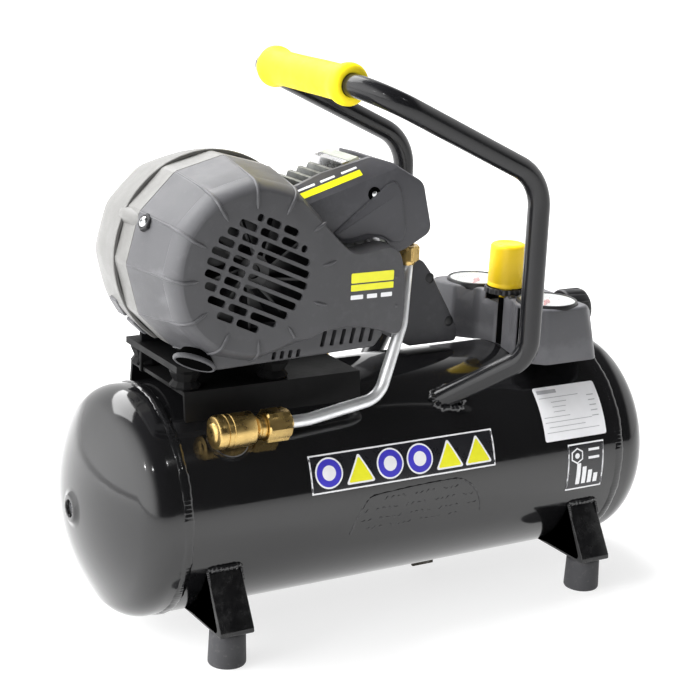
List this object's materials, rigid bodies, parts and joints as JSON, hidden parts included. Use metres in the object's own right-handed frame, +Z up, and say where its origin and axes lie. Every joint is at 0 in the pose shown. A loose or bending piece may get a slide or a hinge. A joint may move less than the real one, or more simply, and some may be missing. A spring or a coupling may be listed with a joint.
{
  "type": "portable air compressor",
  "caption": "Portable air compressor: lying tank on rubber feet, direct-drive pump under a cowl, switch and gauge console, bent tube handle with a soft grip.",
  "frame": {"origin": "on the floor under the middle of the tank, the bottom centre of the bounding box", "axes": "+X along the tank towards the console end, -Y is the panel side with the grille and the pipe, +Z up"},
  "size_m": [0.526, 0.2222, 0.4516],
  "materials": {
    "tank_black": "gloss",
    "bracket_black": "satin",
    "tube_grey": "gloss",
    "rubber_grey": "matt",
    "cowl_grey": "moulded, lightly grained",
    "yellow": "satin",
    "brass": "turned",
    "aluminium": "drawn",
    "cast_alloy": "die cast",
    "steel": "turned",
    "copper_pack": "wound and varnished",
    "black_plastic": "satin",
    "dial_white": "satin",
    "needle_red": "satin",
    "glass": "clear"
  },
  "bodies": {
    "frame": {"bearing_front": "steel", "bearing_rear": "steel", "check_valve_body": "brass", "check_valve_nut": "brass", "console_housing": "cowl_grey", "crankcase": "cast_alloy", "cylinder_head": "cast_alloy", "delivery_pipe": "aluminium", "finned_cylinder": "cast_alloy", "foot_bracket_front_left": "bracket_black", "foot_bracket_front_right": "bracket_black", "foot_bracket_rear_left": "bracket_black", "foot_bracket_rear_right": "bracket_black", "front_cowl": "cowl_grey", "gauge_case_far": "dial_white", "gauge_case_near": "dial_white", "gauge_lens_far": "glass", "gauge_lens_near": "glass", "handle_grip": "yellow", "handle_tube": "tube_grey", "head_cover": "cowl_grey", "head_union_nut": "brass", "intake_filter": "black_plastic", "knob_collar": "black_plastic", "motor_bell": "cast_alloy", "motor_stator": "copper_pack", "outlet_coupler": "brass", "port_plug_left": "steel", "port_plug_right": "steel", "pressure_switch": "aluminium", "pump_base": "bracket_black", "pump_mount_front_left": "rubber_grey", "pump_mount_front_right": "rubber_grey", "pump_mount_rear_left": "rubber_grey", "pump_mount_rear_right": "rubber_grey", "rear_cowl": "cowl_grey", "rubber_foot_front_left": "rubber_grey", "rubber_foot_front_right": "rubber_grey", "rubber_foot_rear_left": "rubber_grey", "rubber_foot_rear_right": "rubber_grey", "safety_valve": "brass", "tank_head_left": "tank_black", "tank_head_right": "tank_black", "tank_shell": "tank_black", "valve_plate": "steel", "wiring_duct": "cowl_grey"},
    "rotor": {"rotor_shaft": "steel", "crank_eccentric": "steel", "cooling_fan": "black_plastic"},
    "piston": {"piston_rod": "aluminium"},
    "switch_button": {"switch_knob": "yellow"},
    "regulator": {"regulator_knob": "black_plastic"},
    "needle_tank": {"gauge_needle_far": "needle_red"},
    "needle_outlet": {"gauge_needle_near": "needle_red"},
    "sleeve": {"coupler_sleeve": "steel"},
    "relief_pull": {"safety_ring": "steel"},
    "drain": {"drain_screw": "brass"},
    "check_disc": {"check_valve_disc": "rubber_grey"}
  },
  "joints": [
    {"name": "motor_spin", "type": "hinge", "parent": "frame", "child": "rotor", "pos_m": [-0.147, 0, 0.3015], "axis": [0, 1, 0], "continuous": true},
    {"name": "piston_stroke", "type": "slide", "parent": "frame", "child": "piston", "axis": [0.9563, 0, 0.2924], "range_m": [-0.009, 0.009]},
    {"name": "switch_pull", "type": "slide", "parent": "frame", "child": "switch_button", "axis": [0, 0, 1], "range_m": [-0.008, 0]},
    {"name": "regulator_turn", "type": "hinge", "parent": "frame", "child": "regulator", "pos_m": [0.212, 0, 0.222], "axis": [1, 0, 0], "range_deg": [0, 300]},
    {"name": "tank_needle_turn", "type": "hinge", "parent": "frame", "child": "needle_tank", "pos_m": [0.14, 0.0455, 0.243], "axis": [0, 0, -1], "range_deg": [0, 270], "stiffness_Nm_per_rad": 0.0002},
    {"name": "outlet_needle_turn", "type": "hinge", "parent": "frame", "child": "needle_outlet", "pos_m": [0.151, -0.0435, 0.243], "axis": [0, 0, -1], "range_deg": [0, 270], "stiffness_Nm_per_rad": 0.0002},
    {"name": "sleeve_draw", "type": "slide", "parent": "frame", "child": "sleeve", "axis": [-1, 0, 0], "range_m": [0, 0.005], "stiffness_N_per_m": 400, "springref_m": -0.004},
    {"name": "relief_draw", "type": "slide", "parent": "frame", "child": "relief_pull", "axis": [0, 0.7431, 0.6691], "range_m": [0, 0.004], "stiffness_N_per_m": 600, "springref_m": -0.003},
    {"name": "drain_turn", "type": "hinge", "parent": "frame", "child": "drain", "pos_m": [0.068, 0, 0.008], "axis": [0, 0, 1], "range_deg": [0, 360]},
    {"name": "check_disc_lift", "type": "slide", "parent": "frame", "child": "check_disc", "axis": [1, 0, 0], "range_m": [0, 0.0025], "stiffness_N_per_m": 40, "springref_m": -0.002}
  ]
}
